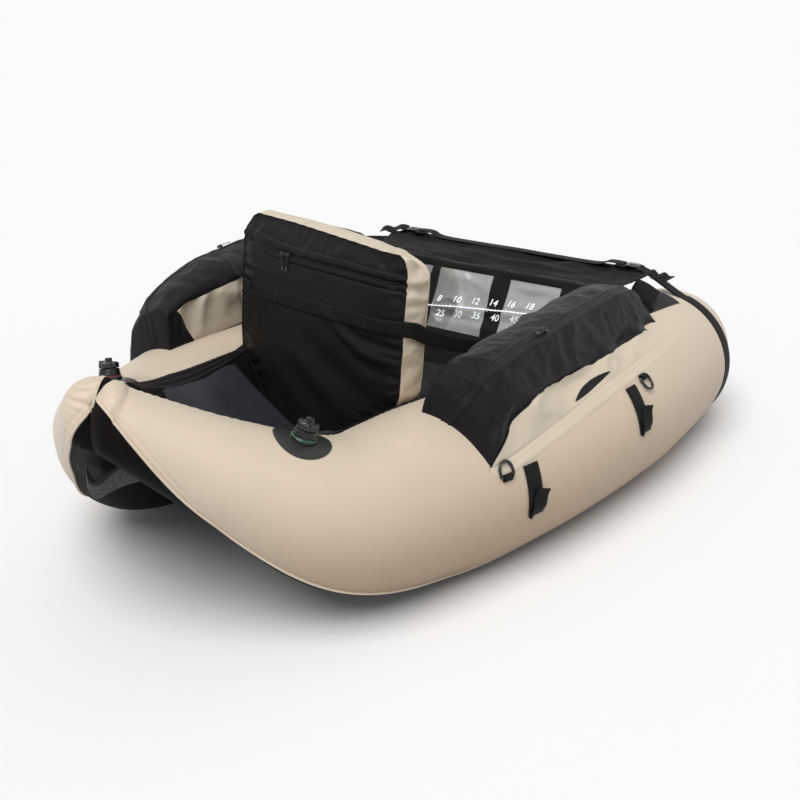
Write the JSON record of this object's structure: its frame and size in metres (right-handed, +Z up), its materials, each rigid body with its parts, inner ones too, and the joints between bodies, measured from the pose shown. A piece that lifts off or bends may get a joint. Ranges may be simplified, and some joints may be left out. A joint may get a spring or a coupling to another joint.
{
  "type": "float tube",
  "caption": "Open-stern inflatable float tube: air tubes in a sewn cover, folding backrest, slung seat, zipped side pockets and a buckled lap apron with clear windows.",
  "frame": {"origin": "on the ground, under the middle of the craft", "axes": "+X to the right of the seated user, +Y to the open stern end that the user faces, +Z up"},
  "size_m": [1.1786, 1.6982, 0.5944],
  "materials": {
    "tan_cloth": "satin coated cloth",
    "black_cloth": "matt woven cloth",
    "piping": "satin",
    "bladder_film": "satin film",
    "black_plastic": "semi-gloss moulded",
    "patch_rubber": "matt",
    "drain_net": "matt fine net",
    "clear_film": "clear flexible film"
  },
  "bodies": {
    "hull": {"access_zip_left": "black_cloth", "access_zip_right": "black_cloth", "apron_panel": "black_cloth", "apron_strap": "black_cloth", "apron_windows": "clear_film", "apron_wing_left": "black_cloth", "apron_wing_right": "black_cloth", "bow_drain_net": "drain_net", "bow_knot": "tan_cloth", "buckle_shell_left": "black_plastic", "buckle_shell_right": "black_plastic", "cargo_deck": "black_cloth", "inner_cover_left": "black_cloth", "inner_cover_right": "black_cloth", "main_bladder_left": "bladder_film", "main_bladder_right": "bladder_film", "outer_cover_left": "tan_cloth", "outer_cover_right": "tan_cloth", "pocket_body_left": "black_cloth", "pocket_body_right": "black_cloth", "pocket_side_left": "tan_cloth", "pocket_side_right": "tan_cloth", "pocket_zip_left": "black_cloth", "pocket_zip_right": "black_cloth", "ring_tab_bow_left": "black_cloth", "ring_tab_bow_right": "black_cloth", "ring_tab_stern_left": "black_cloth", "ring_tab_stern_right": "black_cloth", "seam_piping_left": "piping", "seam_piping_right": "piping", "seat_bladder": "bladder_film", "seat_cover": "black_cloth", "seat_sling": "black_cloth", "side_strap_left": "black_cloth", "side_strap_right": "black_cloth", "stern_strap_left": "black_cloth", "stern_strap_right": "black_cloth", "valve_body_left": "black_plastic", "valve_body_right": "black_plastic", "valve_patch_left": "patch_rubber", "valve_patch_right": "patch_rubber"},
    "backrest": {"backrest_cover": "black_cloth", "backrest_bladder": "bladder_film", "backrest_zip": "black_cloth", "backrest_band": "black_cloth"},
    "backrest_slider": {"backrest_slider": "black_plastic"},
    "valve_cap_right": {"valve_cap_right": "black_plastic"},
    "d_ring_bow_right": {"d_ring_bow_right": "black_plastic"},
    "d_ring_stern_right": {"d_ring_stern_right": "black_plastic"},
    "rod_strap_bow_right": {"rod_strap_bow_right": "black_cloth"},
    "rod_strap_stern_right": {"rod_strap_stern_right": "black_cloth"},
    "pocket_slider_right": {"pocket_slider_right": "black_plastic"},
    "buckle_tongue_right": {"buckle_tongue_right": "black_plastic"},
    "valve_cap_left": {"valve_cap_left": "black_plastic"},
    "d_ring_bow_left": {"d_ring_bow_left": "black_plastic"},
    "d_ring_stern_left": {"d_ring_stern_left": "black_plastic"},
    "rod_strap_bow_left": {"rod_strap_bow_left": "black_cloth"},
    "rod_strap_stern_left": {"rod_strap_stern_left": "black_cloth"},
    "pocket_slider_left": {"pocket_slider_left": "black_plastic"},
    "buckle_tongue_left": {"buckle_tongue_left": "black_plastic"}
  },
  "joints": [
    {"name": "backrest_fold", "type": "hinge", "parent": "hull", "child": "backrest", "pos_m": [0, -0.172, 0.205], "axis": [-1, 0, 0], "range_deg": [0, 60]},
    {"name": "backrest_zip_slide", "type": "slide", "parent": "backrest", "child": "backrest_slider", "axis": [0.9919, -0.1271, 0], "range_m": [-0.048, 0.232]},
    {"name": "valve_cap_turn_right", "type": "hinge", "parent": "hull", "child": "valve_cap_right", "pos_m": [0.23466, -0.587, 0.35256], "axis": [0.2456, 0.2338, 0.9408], "continuous": true},
    {"name": "d_ring_swing_bow_right", "type": "hinge", "parent": "hull", "child": "d_ring_bow_right", "pos_m": [0.47559, -0.31128, 0.23522], "axis": [0.3106, 0.9505, 0.0052], "range_deg": [0, 130]},
    {"name": "d_ring_swing_stern_right", "type": "hinge", "parent": "hull", "child": "d_ring_stern_right", "pos_m": [0.5358, 0.15566, 0.28563], "axis": [-0.1044, -0.9945, -0.0006], "range_deg": [0, 130]},
    {"name": "rod_strap_lift_bow_right", "type": "hinge", "parent": "hull", "child": "rod_strap_bow_right", "pos_m": [0.49059, -0.25306, 0.24137], "axis": [-0.2849, -0.9583, -0.0235], "range_deg": [0, 110]},
    {"name": "rod_strap_lift_stern_right", "type": "hinge", "parent": "hull", "child": "rod_strap_stern_right", "pos_m": [0.53109, 0.09964, 0.28304], "axis": [-0.1227, -0.9924, -0.0016], "range_deg": [0, 110]},
    {"name": "pocket_zip_slide_right", "type": "slide", "parent": "hull", "child": "pocket_slider_right", "axis": [0, 1, 0], "range_m": [-0.04, 0.18]},
    {"name": "buckle_pull_right", "type": "slide", "parent": "hull", "child": "buckle_tongue_right", "axis": [-1, 0, 0], "range_m": [0, 0.022]},
    {"name": "valve_cap_turn_left", "type": "hinge", "parent": "hull", "child": "valve_cap_left", "pos_m": [-0.23466, -0.587, 0.35256], "axis": [-0.2456, 0.2338, 0.9408], "continuous": true},
    {"name": "d_ring_swing_bow_left", "type": "hinge", "parent": "hull", "child": "d_ring_bow_left", "pos_m": [-0.47559, -0.31128, 0.23522], "axis": [0.3106, -0.9505, -0.0052], "range_deg": [0, 130]},
    {"name": "d_ring_swing_stern_left", "type": "hinge", "parent": "hull", "child": "d_ring_stern_left", "pos_m": [-0.5358, 0.15566, 0.28563], "axis": [-0.1044, 0.9945, 0.0006], "range_deg": [0, 130]},
    {"name": "rod_strap_lift_bow_left", "type": "hinge", "parent": "hull", "child": "rod_strap_bow_left", "pos_m": [-0.49059, -0.25306, 0.24137], "axis": [-0.2849, 0.9583, 0.0235], "range_deg": [0, 110]},
    {"name": "rod_strap_lift_stern_left", "type": "hinge", "parent": "hull", "child": "rod_strap_stern_left", "pos_m": [-0.53109, 0.09964, 0.28304], "axis": [-0.1227, 0.9924, 0.0016], "range_deg": [0, 110]},
    {"name": "pocket_zip_slide_left", "type": "slide", "parent": "hull", "child": "pocket_slider_left", "axis": [0, 1, 0], "range_m": [-0.04, 0.18]},
    {"name": "buckle_pull_left", "type": "slide", "parent": "hull", "child": "buckle_tongue_left", "axis": [1, 0, 0], "range_m": [0, 0.022]}
  ]
}
